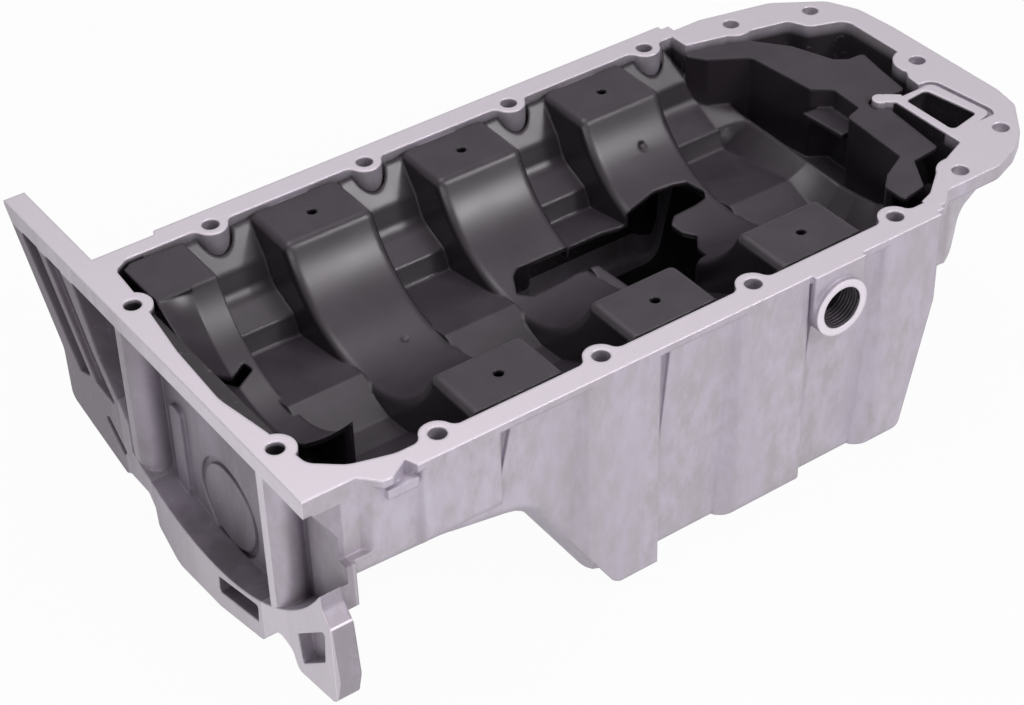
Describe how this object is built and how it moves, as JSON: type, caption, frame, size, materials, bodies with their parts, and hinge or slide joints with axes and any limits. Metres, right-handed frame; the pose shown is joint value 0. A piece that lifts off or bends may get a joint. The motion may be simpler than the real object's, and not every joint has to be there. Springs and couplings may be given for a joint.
{
  "type": "engine oil pan",
  "caption": "Cast engine oil pan with a bell housing flange, a moulded windage tray, an inner suction pickup and a drain plug.",
  "frame": {"origin": "centre of the long bolt rectangle, on the joint face", "axes": "+Z out of the joint face to the engine, +X to the front cover end, -X to the bell housing"},
  "size_m": [0.442, 0.2889, 0.132],
  "materials": {
    "cast_aluminium": "as cast, with machined faces",
    "black_moulding": "satin black",
    "plated_steel": "zinc plated",
    "soft_aluminium": "plain",
    "seal_rubber": "matte"
  },
  "bodies": {
    "root": {"pan_casting": "cast_aluminium", "windage_tray": "black_moulding", "drain_plug": "plated_steel", "drain_washer": "soft_aluminium", "pickup_tube": "plated_steel", "pickup_seal": "seal_rubber", "pickup_screen": "plated_steel", "pickup_screw_1": "plated_steel", "pickup_screw_2": "plated_steel"}
  },
  "joints": []
}
